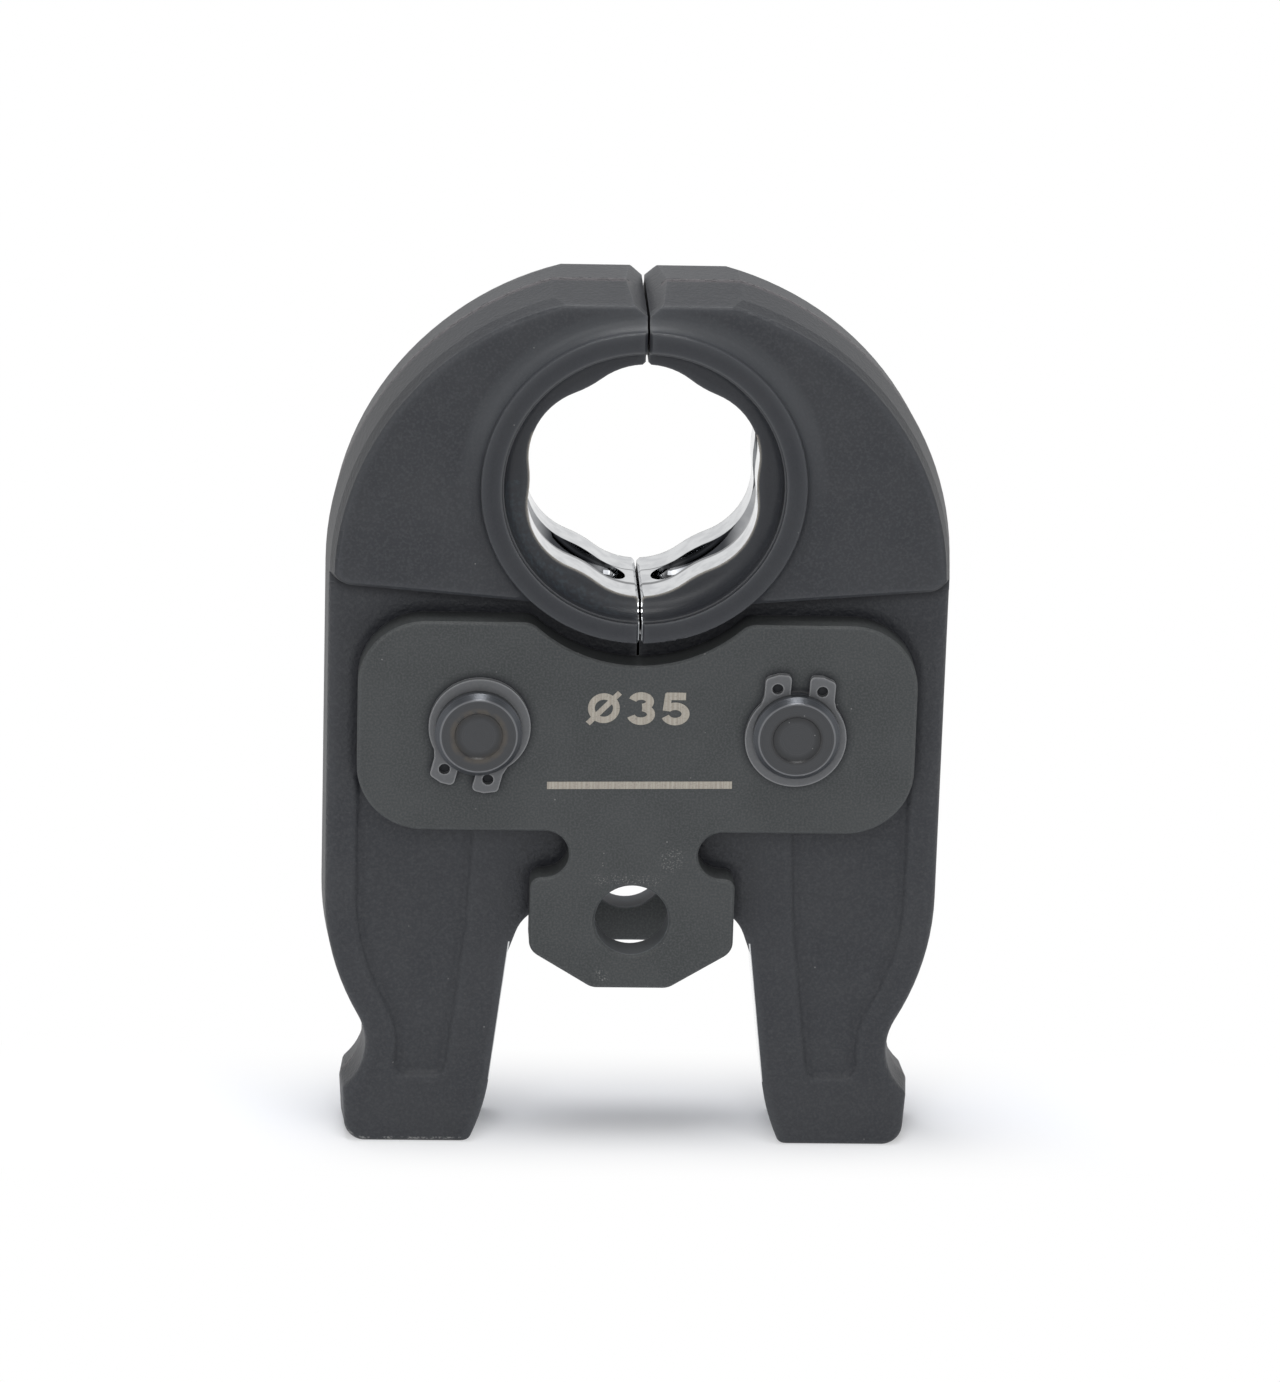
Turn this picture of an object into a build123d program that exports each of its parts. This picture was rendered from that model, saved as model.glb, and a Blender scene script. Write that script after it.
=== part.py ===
from build123d import *
import os
from math import acos, atan2, cos, degrees, hypot, radians, sin, sqrt, tan

os.makedirs("parts", exist_ok=True)

# Press fitting tool jaw, in millimetres. Two forged jaws swing on two pins
# between a pair of T-shaped side plates. The frame has X across the jaws, Y
# through their thickness with the front at -Y, and Z up. Its origin is the
# centre of the hole that takes the tool's locking pin, at mid thickness.

# Side plates
plate_thickness = 5.2
plate_gap = 15.5
plate_half_width = 44.8
plate_top = 51.0
plate_bottom = 15.4
plate_corner_radius = 10.9
plate_saddle_radius = 24.3
plate_saddle_bottom = 43.85
plate_saddle_blend = 3.5
plate_edge_break = 0.35
neck_notch_radius = 4.05
neck_half_width = 10.4
tab_shoulder_flat = 0.3
tab_top_corner_radius = 1.8
tab_bottom = -11.85
tab_foot_half_width = 6.2
tab_slope_top = -5.4
tab_corner_radius = 3.0
locking_bore_radius = 6.0
locking_bore_chamfer = 0.4

# Pivots
pivot_x = 25.45
pivot_z = 32.85
pin_radius = 7.0
pin_stand_out = 3.3
pin_end_chamfer = 0.85
pin_dish_radius = 3.7
pin_dish_depth = 0.25
ring_groove_radius = 6.7
ring_groove_width = 1.1
pin_fit_clearance = 0.04
pin_running_clearance = 0.08

# Retaining rings, which open at a gap between two lugs
ring_thickness = 1.0
ring_bore_clearance = 0.05
ring_outer_radius = 8.15
ring_offset = 0.71
ring_gap = 3.0
ring_lug_reach = 10.0
ring_lug_drop = 0.8
ring_lug_half_span = 5.65
ring_lug_side = 3.0
ring_lug_corner = 0.8
ring_lug_hole_radius = 0.9
ring_lug_hole_pitch = 7.2
ring_lug_hole_height = 7.6
left_ring_turn = 166.0
right_ring_turn = -3.0

# Jaw forging
jaw_gap = 0.4
web_clearance = 0.1
head_thickness = 22.9
draft_angle = 4.7
head_rim_depth = 3.25
head_rim_slope = 14.0
head_rim_top_slope = 5.0
head_edge_round = 0.6
web_edge_round = 1.5
side_x = 50.2
head_arc_radius = 49.5
head_arc_center_z = 57.0
head_top_trim = 2.1
tip_chamfer_width = 3.1
tip_chamfer_height = 2.7
step_outer_z = 55.7
step_slope = 4.8
step_wall_slope = 17.0
step_corner_radius = 4.5
step_edge_break = 0.5
step_break_slope = 50.0
heel_z = 33.6
heel_relief = 0.25
gap_edge_break = 0.45

# Legs
foot_z = -41.8
foot_allowance = 0.7
leg_arc_radius = 45.0
leg_arc_top_z = 2.0
ankle_radius = 10.0
ankle_z = -24.7
toe_x = 46.9
toe_lean = 0.6
toe_shoulder_radius = 1.8
toe_corner_radius = 4.0
toe_heel_radius = 2.2
cam_top_x = 19.85
cam_top_z = -8.0
cam_slope = 6.6
cam_straight_length = 22.0
cam_flare_radius = 38.0
locking_relief_clearance = 0.85
nose_angle = 100.0
nose_radius = 1.0
waist_x = 6.9
waist_z = 17.0
panel_depth = 0.75
panel_wall_slope = 50.0
panel_shoulder_z = 17.0
panel_top_rise = 9.0
panel_bottom_z = -30.2
panel_outer_margin = 5.2
panel_inner_margin = 7.0
panel_knee_z = -3.0
panel_knee_step = 1.0
panel_corner_radius = 2.6
panel_shoulder_radius = 5.0
panel_edge_round = 1.1

# How far each jaw opens
jaw_opening_angle = 19.0

# Pressing contour and its bore
bore_z = 73.88
boss_thickness = 27.7
boss_radius = 25.9
boss_edge_round = 0.3
mouth_radius = 22.6
mouth_step = 0.35
mouth_step_depth = 0.45
lead_in_radius = 2.8
shoulder_y = 9.41
contour_flat_radius = 18.05
contour_lobe_radius = 19.4
contour_lobe_arc = 11.4
contour_lobes = 6
bead_groove_radius = 3.2
bead_groove_center = 19.0
bead_groove_land = 1.7

# Closing spring: a wire torsion spring whose arms push the legs apart
spring_wire = 1.6
spring_z = 22.9
spring_coil_turns = 2
spring_coil_gap = 0.15
spring_well_clearance = 2.1
spring_arm_length = 15.0
spring_arm_seat = 0.3

outer_y = plate_gap / 2 + plate_thickness
tab_half_width = neck_half_width + neck_notch_radius + tab_top_corner_radius + tab_shoulder_flat
web_half = plate_gap / 2 - web_clearance
head_half = head_thickness / 2
head_top = head_arc_center_z + head_arc_radius - head_top_trim
boss_half = boss_thickness / 2
contact_x = jaw_gap / 2
reach_past = 8.0
steepest_draft = 0.3
front = Plane.XZ
back = Plane(origin=(0, 0, 0), x_dir=(-1, 0, 0), z_dir=(0, 1, 0))
turning = Plane(origin=(0, 0, bore_z), x_dir=(1, 0, 0), z_dir=(0, 0, -1))
bore_axis = Axis((0, 0, bore_z), (0, 1, 0))


def circle_point(center, radius, angle):
    """Point on a circle at an angle in degrees from +X."""
    return (center[0] + radius * cos(radians(angle)), center[1] + radius * sin(radians(angle)))


def angle_to(center, point):
    """Angle in degrees from +X of the line from a centre to a point."""
    return degrees(atan2(point[1] - center[1], point[0] - center[0]))


def arc_through(center, radius, start, end):
    """Arc on a circle between two of its angles, by the mid angle."""
    middle = (start + end) / 2
    ends = [circle_point(center, radius, a) for a in (start, middle, end)]
    return ThreePointArc(*ends)


def corner(sketch, x, z):
    """The vertex of a sketch nearest to a point."""
    return sketch.vertices().sort_by_distance((x, z, 0))[0]


# Side plates. Each is a T: a wide bar that carries both pins, a saddle that
# clears the boss round the bore, and a tab with the locking hole, set off by
# a round notch on either side.
saddle_center = (0, plate_saddle_bottom + plate_saddle_radius)
saddle_edge_x = sqrt(plate_saddle_radius**2 - (saddle_center[1] - plate_top) ** 2)
saddle_end = angle_to(saddle_center, (saddle_edge_x, plate_top))
notch_center = (neck_half_width + neck_notch_radius, plate_bottom - neck_notch_radius)
notch_bottom = notch_center[1] - neck_notch_radius

with BuildPart() as front_side_plate:
    with BuildSketch(front.offset(plate_gap / 2)) as plate_outline:
        with BuildLine():
            arc_through(saddle_center, plate_saddle_radius, -90, saddle_end)
            Polyline(
                (saddle_edge_x, plate_top),
                (plate_half_width, plate_top),
                (plate_half_width, plate_bottom),
                (notch_center[0], plate_bottom),
            )
            arc_through(notch_center, neck_notch_radius, 90, 270)
            Polyline(
                (notch_center[0], notch_bottom),
                (tab_half_width, notch_bottom),
                (tab_half_width, tab_slope_top),
                (tab_foot_half_width, tab_bottom),
                (0, tab_bottom),
                (0, plate_saddle_bottom),
            )
        make_face()
        fillet(corner(plate_outline, plate_half_width, plate_top), plate_corner_radius)
        fillet(corner(plate_outline, plate_half_width, plate_bottom), plate_corner_radius)
        fillet(corner(plate_outline, tab_half_width, notch_bottom), tab_top_corner_radius)
        fillet(corner(plate_outline, tab_half_width, tab_slope_top), tab_corner_radius)
        fillet(corner(plate_outline, tab_foot_half_width, tab_bottom), tab_corner_radius)
        fillet(corner(plate_outline, saddle_edge_x, plate_top), plate_saddle_blend)
        mirror(about=Plane.YZ)
    extrude(amount=plate_thickness)
    chamfer(front_side_plate.faces().sort_by(Axis.Y)[0].edges(), plate_edge_break)
    with BuildSketch(front.offset(plate_gap / 2)):
        Circle(locking_bore_radius)
        with Locations((-pivot_x, pivot_z), (pivot_x, pivot_z)):
            Circle(pin_radius + pin_fit_clearance)
    extrude(amount=plate_thickness, mode=Mode.SUBTRACT)
    outer_circles = front_side_plate.faces().sort_by(Axis.Y)[0].edges().filter_by(GeomType.CIRCLE)
    chamfer(outer_circles.sort_by_distance((0, -outer_y, 0))[0], locking_bore_chamfer)
front_side_plate.part.label = "front_side_plate"

with BuildPart() as back_side_plate:
    mirror(front_side_plate.part, about=Plane.XZ)
back_side_plate.part.label = "back_side_plate"


# Pivot pins. A turned steel bar with a chamfer, a shallow dish and a ring
# groove at each end. A retaining ring in each groove bears on its plate.
pin_end_y = outer_y + pin_stand_out


def turned_pin(x):
    """One pin, turned about its own axis at the given X."""
    with BuildPart() as pin:
        with BuildSketch(Plane.XY.offset(pivot_z)):
            with BuildLine():
                Polyline(
                    (x, pin_end_y - pin_dish_depth),
                    (x + pin_dish_radius, pin_end_y - pin_dish_depth),
                    (x + pin_dish_radius + pin_dish_depth, pin_end_y),
                    (x + pin_radius - pin_end_chamfer, pin_end_y),
                    (x + pin_radius, pin_end_y - pin_end_chamfer),
                    (x + pin_radius, outer_y + ring_groove_width),
                    (x + ring_groove_radius, outer_y + ring_groove_width),
                    (x + ring_groove_radius, outer_y),
                    (x + pin_radius, outer_y),
                    (x + pin_radius, 0),
                    (x, 0),
                    close=True,
                )
            make_face()
            mirror(about=Plane.XZ)
        revolve(axis=Axis((x, 0, pivot_z), (0, 1, 0)))
    return pin.part


with BuildPart() as left_pivot_pin:
    add(turned_pin(-pivot_x))
left_pivot_pin.part.label = "left_pivot_pin"

with BuildPart() as right_pivot_pin:
    add(turned_pin(pivot_x))
right_pivot_pin.part.label = "right_pivot_pin"


# Retaining rings. The band is widest opposite the gap, and each end of the
# band swells into a lug with a hole for the fitting pliers.
def retaining_ring(side, x, gap_turn):
    """One ring flat on a plate, its gap turned anticlockwise from the top."""
    seat = side.offset(outer_y).location * Location((x, pivot_z, 0), (0, 0, gap_turn))
    lug_shoulder_x = (ring_gap / 2 + ring_lug_half_span) / 2
    with BuildPart() as ring:
        with BuildSketch(Plane(seat)) as ring_outline:
            with Locations((0, -ring_offset)):
                Circle(ring_outer_radius)
            with BuildLine():
                Polyline(
                    (0, 0),
                    (0, ring_lug_reach),
                    (lug_shoulder_x, ring_lug_reach),
                    (ring_lug_half_span, ring_lug_reach - ring_lug_drop),
                    (ring_lug_half_span, ring_lug_reach - ring_lug_drop - ring_lug_side),
                    (ring_outer_radius - ring_offset, 0),
                    close=True,
                )
            make_face()
            mirror(about=Plane.YZ)
            with Locations((0, ring_lug_reach / 2)):
                Rectangle(ring_gap, ring_lug_reach, mode=Mode.SUBTRACT)
            Circle(ring_groove_radius + ring_bore_clearance, mode=Mode.SUBTRACT)
            for way in (-1, 1):
                fillet(corner(ring_outline, way * ring_gap / 2, ring_lug_reach), ring_lug_corner)
                lug_side_z = ring_lug_reach - ring_lug_drop
                fillet(corner(ring_outline, way * ring_lug_half_span, lug_side_z), ring_lug_corner)
            half_pitch = ring_lug_hole_pitch / 2
            with Locations((-half_pitch, ring_lug_hole_height), (half_pitch, ring_lug_hole_height)):
                Circle(ring_lug_hole_radius, mode=Mode.SUBTRACT)
        extrude(amount=ring_thickness)
    return ring.part


with BuildPart() as front_left_retaining_ring:
    add(retaining_ring(front, -pivot_x, left_ring_turn))
front_left_retaining_ring.part.label = "front_left_retaining_ring"

with BuildPart() as front_right_retaining_ring:
    add(retaining_ring(front, pivot_x, right_ring_turn))
front_right_retaining_ring.part.label = "front_right_retaining_ring"

with BuildPart() as back_left_retaining_ring:
    add(retaining_ring(back, pivot_x, right_ring_turn))
back_left_retaining_ring.part.label = "back_left_retaining_ring"

with BuildPart() as back_right_retaining_ring:
    add(retaining_ring(back, -pivot_x, left_ring_turn))
back_right_retaining_ring.part.label = "back_right_retaining_ring"


# Right jaw. Its front half is a drafted forging with a stepped head. The
# contact face, cam face, foot, bore and pivot are machined, and the back half
# is its mirror image.
head_arc_center = (side_x - head_arc_radius, head_arc_center_z)
leg_arc_center = (side_x - leg_arc_radius, leg_arc_top_z)
ankle_run = sqrt((leg_arc_radius + ankle_radius) ** 2 - (leg_arc_top_z - ankle_z) ** 2)
ankle_center = (leg_arc_center[0] + ankle_run, ankle_z)
ankle_angle = angle_to(leg_arc_center, ankle_center)
toe_shoulder_z = ankle_z - sqrt(ankle_radius**2 - (ankle_center[0] - toe_x) ** 2)
toe_angle = angle_to(ankle_center, (toe_x, toe_shoulder_z)) + 360
forged_half = head_half - head_rim_depth
rim_inset = forged_half * tan(radians(draft_angle))
forged_foot_z = foot_z - foot_allowance
step_rise = tan(radians(step_slope))
cove_radius = boss_half - boss_edge_round - head_half
cove_outer_radius = boss_radius + cove_radius
gap_edge_side = gap_edge_break * sqrt(2)

# The leg's inner profile. The locking pin sits in the relief when the jaw is
# fully open, so the relief's centre is the pin's, seen from the open jaw.
pin_bearing = angle_to((pivot_x, pivot_z), (0, 0)) + jaw_opening_angle
relief_center = circle_point((pivot_x, pivot_z), hypot(pivot_x, pivot_z), pin_bearing)
relief_radius = locking_bore_radius + locking_relief_clearance
relief_distance = hypot(cam_top_x - relief_center[0], cam_top_z - relief_center[1])
cam_bearing = angle_to(relief_center, (cam_top_x, cam_top_z))
relief_start = cam_bearing + degrees(acos(relief_radius / relief_distance))
nose = circle_point(relief_center, relief_radius, nose_angle)
cam_end = circle_point((cam_top_x, cam_top_z), cam_straight_length, cam_slope - 90)
flare_center = circle_point(cam_end, cam_flare_radius, cam_slope)
flare_foot_x = flare_center[0] - sqrt(cam_flare_radius**2 - (flare_center[1] - foot_z) ** 2)
flare_end = angle_to(flare_center, (flare_foot_x, foot_z)) + 360
leg_line_normal = angle_to(nose, (waist_x, waist_z)) - 90
waist_rise = (waist_z - spring_z) * sin(radians(leg_line_normal))
spring_well_reach = waist_x * cos(radians(leg_line_normal)) + waist_rise
spring_coil_radius = spring_well_reach - spring_arm_seat - spring_wire / 2
spring_well_radius = spring_coil_radius + spring_wire / 2 + spring_well_clearance

# The pressing contour: rounded lobes joined by flatter bulges, all tangent.
half_pitch_angle = 180 / contour_lobes
lobe_reach = contour_lobe_radius - contour_lobe_arc
lobe_along = lobe_reach * cos(radians(half_pitch_angle))
lobe_across = lobe_reach * sin(radians(half_pitch_angle))
bulge_rise = lobe_across**2 + (contour_flat_radius - lobe_along) ** 2 - contour_lobe_arc**2
bulge_radius = bulge_rise / (2 * (contour_lobe_arc - contour_flat_radius + lobe_along))


def lobe_joint(lobe_angle, bulge_angle):
    """Point where the arc of a lobe runs into the bulge beside it."""
    lobe = circle_point((0, bore_z), lobe_reach, lobe_angle)
    bulge = circle_point((0, bore_z), contour_flat_radius + bulge_radius, bulge_angle)
    return circle_point(lobe, contour_lobe_arc, angle_to(lobe, bulge))


# The shallow panel in the leg's face keeps an even border along both edges.
panel_outer_x = side_x - panel_outer_margin
panel_leg_radius = leg_arc_radius - panel_outer_margin
panel_ankle_radius = ankle_radius + panel_outer_margin
panel_foot_x = ankle_center[0] - sqrt(panel_ankle_radius**2 - (ankle_z - panel_bottom_z) ** 2)
panel_ankle_end = angle_to(ankle_center, (panel_foot_x, panel_bottom_z)) + 360
cam_lean = tan(radians(cam_slope))
panel_heel_x = cam_top_x + panel_inner_margin + (cam_top_z - panel_bottom_z) * cam_lean
panel_knee_x = cam_top_x + panel_inner_margin + (cam_top_z - panel_knee_z) * cam_lean
panel_shoulder_x = panel_knee_x - panel_knee_step
panel_top_z = panel_shoulder_z + panel_top_rise


def side_walls(solid):
    """The walls that stand across the thickness, which take the draft."""
    return solid.faces().filter_by(lambda wall: abs(wall.normal_at(wall.center()).Y) < steepest_draft)


def head_lines(inset, lower_z):
    """Outline of the head, drawn inside its outer line by the inset."""
    top = head_top - inset
    radius = head_arc_radius - inset
    flat_x = head_arc_center[0] + sqrt(radius**2 - (top - head_arc_center_z) ** 2)
    Line((-reach_past, top), (flat_x, top))
    arc_through(head_arc_center, radius, angle_to(head_arc_center, (flat_x, top)), 0)
    Polyline(
        (side_x - inset, head_arc_center_z),
        (side_x - inset, lower_z),
        (-reach_past, lower_z - (side_x + reach_past) * step_rise),
        (-reach_past, top),
    )


with BuildPart() as leg_forging:
    with BuildSketch(front) as leg_outline:
        with BuildLine():
            Line((side_x, head_arc_center_z), (side_x, leg_arc_top_z))
            arc_through(leg_arc_center, leg_arc_radius, 0, ankle_angle)
            arc_through(ankle_center, ankle_radius, ankle_angle + 180, toe_angle)
            Polyline(
                (toe_x, toe_shoulder_z),
                (toe_x - toe_lean, forged_foot_z),
                (cam_top_x, forged_foot_z),
                (nose[0] - reach_past / 2, nose[1]),
                (-reach_past, spring_z),
                (-reach_past, bore_z),
                (boss_radius, bore_z),
                (side_x, head_arc_center_z),
            )
        make_face()
        fillet(corner(leg_outline, toe_x, toe_shoulder_z), toe_shoulder_radius)
        fillet(corner(leg_outline, toe_x - toe_lean, forged_foot_z), toe_corner_radius)
    extrude(amount=web_half)
    draft(side_walls(leg_forging), front, draft_angle)
    leg_rim = leg_forging.faces().sort_by(Axis.Y)[0].edges()
    fillet(leg_rim.filter_by_position(Axis.X, toe_x - reach_past, side_x), web_edge_round)

    with BuildSketch(front.offset(web_half)) as leg_panel:
        with BuildLine():
            Line((panel_outer_x, panel_top_z), (panel_outer_x, leg_arc_top_z))
            arc_through(leg_arc_center, panel_leg_radius, 0, ankle_angle)
            arc_through(ankle_center, panel_ankle_radius, ankle_angle + 180, panel_ankle_end)
            Polyline(
                (panel_foot_x, panel_bottom_z),
                (panel_heel_x, panel_bottom_z),
                (panel_knee_x, panel_knee_z),
                (panel_shoulder_x, panel_shoulder_z),
                (panel_outer_x, panel_top_z),
            )
        make_face()
        for x, z in (
            (panel_outer_x, panel_top_z),
            (panel_foot_x, panel_bottom_z),
            (panel_heel_x, panel_bottom_z),
        ):
            fillet(corner(leg_panel, x, z), panel_corner_radius)
        fillet(corner(leg_panel, panel_shoulder_x, panel_shoulder_z), panel_shoulder_radius)
    extrude(amount=-panel_depth, taper=panel_wall_slope, mode=Mode.SUBTRACT)
    panel_floor = leg_forging.faces().filter_by(Axis.Y).sort_by(Axis.Y)[1]
    fillet(panel_floor.edges(), panel_edge_round)
    panel_border = leg_forging.faces().sort_by(Axis.Y)[0].inner_wires()[0]
    fillet(panel_border.edges(), panel_edge_round)

with BuildPart() as head_forging:
    with BuildSketch(front):
        with BuildLine():
            head_lines(0, step_outer_z)
        make_face()
    extrude(amount=forged_half)
    draft(side_walls(head_forging).sort_by(Axis.Z)[1:], front, draft_angle)

with BuildPart() as head_rim:
    with BuildSketch(front.offset(forged_half)):
        with BuildLine():
            head_lines(rim_inset, step_outer_z - reach_past)
        make_face()
    extrude(amount=head_half - forged_half)
    draft(side_walls(head_rim).sort_by(Axis.Z)[:-1], front.offset(forged_half), head_rim_slope)
    draft(side_walls(head_rim).sort_by(Axis.Z)[-1], front.offset(forged_half), head_rim_top_slope)
    fillet(head_rim.faces().sort_by(Axis.Y)[0].edges(), head_edge_round)

with BuildPart() as boss_cove:
    with BuildSketch(turning):
        with BuildLine():
            arc_through((cove_outer_radius, head_half + cove_radius), cove_radius, 180, 270)
            Polyline(
                (cove_outer_radius, head_half),
                (cove_outer_radius, forged_half),
                (mouth_radius, forged_half),
                (mouth_radius, head_half + cove_radius),
                (boss_radius, head_half + cove_radius),
            )
        make_face()
    revolve(axis=bore_axis)

with BuildPart() as plate_recess:
    with BuildSketch(front.offset(web_half)) as recess_outline:
        with BuildLine():
            Polyline(
                (-boss_radius, step_outer_z - (side_x + boss_radius) * step_rise),
                (side_x, step_outer_z),
                (side_x, step_outer_z + 2 * step_corner_radius),
                (side_x + reach_past, step_outer_z + 2 * step_corner_radius),
                (side_x + reach_past, forged_foot_z - reach_past),
                (-boss_radius, forged_foot_z - reach_past),
                close=True,
            )
        make_face()
        fillet(corner(recess_outline, side_x, step_outer_z), step_corner_radius)
    extrude(amount=head_half - step_edge_break - web_half)
    draft(side_walls(plate_recess), front.offset(web_half), -step_wall_slope)

with BuildPart() as recess_mouth:
    add(extrude(plate_recess.faces().sort_by(Axis.Y)[0], amount=boss_half - head_half + step_edge_break))
    draft(side_walls(recess_mouth), front.offset(head_half - step_edge_break), -step_break_slope)

with BuildPart() as bore_boss:
    with BuildSketch(front):
        with Locations((0, bore_z)):
            Circle(boss_radius)
    extrude(amount=boss_half)
    fillet(bore_boss.faces().sort_by(Axis.Y)[0].edges(), boss_edge_round)

with BuildPart() as right_jaw:
    add(leg_forging.part)
    add(head_forging.part)
    add(head_rim.part)
    add(boss_cove.part)
    add(plate_recess.part, mode=Mode.SUBTRACT)
    add(recess_mouth.part, mode=Mode.SUBTRACT)
    add(bore_boss.part)

    with BuildSketch(front) as machined_outline:
        with BuildLine():
            arc_through(relief_center, relief_radius, relief_start, nose_angle)
            Polyline(
                nose,
                circle_point((0, spring_z), spring_well_reach, leg_line_normal),
                (contact_x + heel_relief, spring_z + spring_coil_radius),
                (contact_x, heel_z),
                (contact_x, head_top - tip_chamfer_height),
                (contact_x + 2 * tip_chamfer_width, head_top + tip_chamfer_height),
                (side_x + reach_past, head_top + tip_chamfer_height),
                (side_x + reach_past, foot_z),
                (flare_foot_x, foot_z),
            )
            arc_through(flare_center, cam_flare_radius, flare_end, cam_slope + 180)
            cam_top = (cam_top_x, cam_top_z)
            Polyline(cam_end, cam_top, circle_point(relief_center, relief_radius, relief_start))
        make_face()
        fillet(corner(machined_outline, flare_foot_x, foot_z), toe_heel_radius)
        fillet(corner(machined_outline, *nose), nose_radius)
        with Locations((0, spring_z)):
            Circle(spring_well_radius, mode=Mode.SUBTRACT)
    extrude(amount=boss_half + reach_past, mode=Mode.INTERSECT)
    with BuildSketch(Plane.XY.offset(heel_z)):
        with Locations((contact_x, -boss_half)):
            Rectangle(gap_edge_side, gap_edge_side, rotation=45)
    extrude(amount=head_top - heel_z, mode=Mode.SUBTRACT)
    with BuildSketch(front.offset(plate_gap / 2)):
        with Locations((contact_x, bore_z - boss_radius)):
            Rectangle(gap_edge_side, gap_edge_side, rotation=45)
    extrude(amount=plate_thickness + reach_past, mode=Mode.SUBTRACT)
    mirror(about=Plane.XZ)

    with BuildSketch(turning):
        with BuildLine():
            throat_radius = mouth_radius - mouth_step
            throat_end = (throat_radius, shoulder_y + lead_in_radius)
            arc_through((throat_radius - lead_in_radius, throat_end[1]), lead_in_radius, -90, 0)
            Polyline(
                throat_end,
                (throat_radius, boss_half - mouth_step_depth),
                (mouth_radius, boss_half - mouth_step_depth),
                (mouth_radius, boss_half + reach_past),
                (0, boss_half + reach_past),
                (0, shoulder_y),
                (throat_radius - lead_in_radius, shoulder_y),
            )
        make_face()
        mirror(about=Plane.XZ)
    revolve(axis=bore_axis, mode=Mode.SUBTRACT)

    with BuildSketch(front):
        with BuildLine():
            for lobe in range(contour_lobes):
                lobe_angle = 90 + 2 * half_pitch_angle * lobe
                before = lobe_angle - half_pitch_angle
                after = lobe_angle + half_pitch_angle
                lobe_end = lobe_joint(lobe_angle, after)
                lobe_tip = circle_point((0, bore_z), contour_lobe_radius, lobe_angle)
                ThreePointArc(lobe_joint(lobe_angle, before), lobe_tip, lobe_end)
                bulge_tip = circle_point((0, bore_z), contour_flat_radius, after)
                ThreePointArc(lobe_end, bulge_tip, lobe_joint(after + half_pitch_angle, after))
        make_face()
        contour_ends = [(contact_x, bore_z + way * contour_lobe_radius) for way in (-1, 1)]
        with Locations(*contour_ends):
            Rectangle(gap_edge_side, gap_edge_side, rotation=45)
        with Locations((pivot_x, pivot_z)):
            Circle(pin_radius + pin_running_clearance)
    extrude(amount=boss_half, both=True, mode=Mode.SUBTRACT)

    groove_end_x = contact_x + bead_groove_land + bead_groove_radius
    groove_end = degrees(acos(groove_end_x / bead_groove_center))
    groove_start = circle_point((0, bore_z), bead_groove_center, -groove_end)
    groove_stop = circle_point((0, bore_z), bead_groove_center, groove_end)
    groove_path = (groove_start[1] - bore_z, 0, -groove_start[0])
    with BuildSketch(Plane((groove_start[0], 0, groove_start[1]), x_dir=(0, 1, 0), z_dir=groove_path)):
        Circle(bead_groove_radius)
    revolve(axis=bore_axis, revolution_arc=-2 * groove_end, mode=Mode.SUBTRACT)
    with Locations((groove_start[0], 0, groove_start[1]), (groove_stop[0], 0, groove_stop[1])):
        Sphere(bead_groove_radius, mode=Mode.SUBTRACT)
right_jaw.part.label = "right_jaw"

with BuildPart() as left_jaw:
    mirror(right_jaw.part, about=Plane.YZ)
left_jaw.part.label = "left_jaw"


# Closing spring. The coil lies in the well between the jaws. Each arm leaves
# it along a tangent and runs down the inner face of one leg.
coil_pitch = spring_wire + spring_coil_gap
coil_turn = spring_coil_turns + (180 - 2 * leg_line_normal) / 360
coil_length = coil_pitch * coil_turn
coil_back = (0, coil_length / 2, spring_z)
coil_axis = Axis(coil_back, (0, -1, 0))
upright_coil = Helix(coil_pitch, coil_length, spring_coil_radius, center=coil_back, direction=(0, -1, 0))
coil = upright_coil.rotate(coil_axis, leg_line_normal + 90)

with BuildPart() as closing_spring:
    with BuildLine() as wire_path:
        right_arm_end = coil @ 0 - coil % 0 * spring_arm_length
        left_arm_end = coil @ 1 + coil % 1 * spring_arm_length
        Line(right_arm_end, coil @ 0)
        add(coil)
        Line(coil @ 1, left_arm_end)
    with BuildSketch(Plane(right_arm_end, z_dir=coil % 0)):
        Circle(spring_wire / 2)
    sweep(path=wire_path.wires()[0])
closing_spring.part.label = "closing_spring"

for piece in (
    front_side_plate,
    back_side_plate,
    left_jaw,
    right_jaw,
    left_pivot_pin,
    right_pivot_pin,
    front_left_retaining_ring,
    front_right_retaining_ring,
    back_left_retaining_ring,
    back_right_retaining_ring,
    closing_spring,
):
    export_step(piece.part, f"parts/{piece.part.label}.step")
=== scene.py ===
import math

import bpy
import numpy as np
from mathutils import Matrix, Vector


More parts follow.
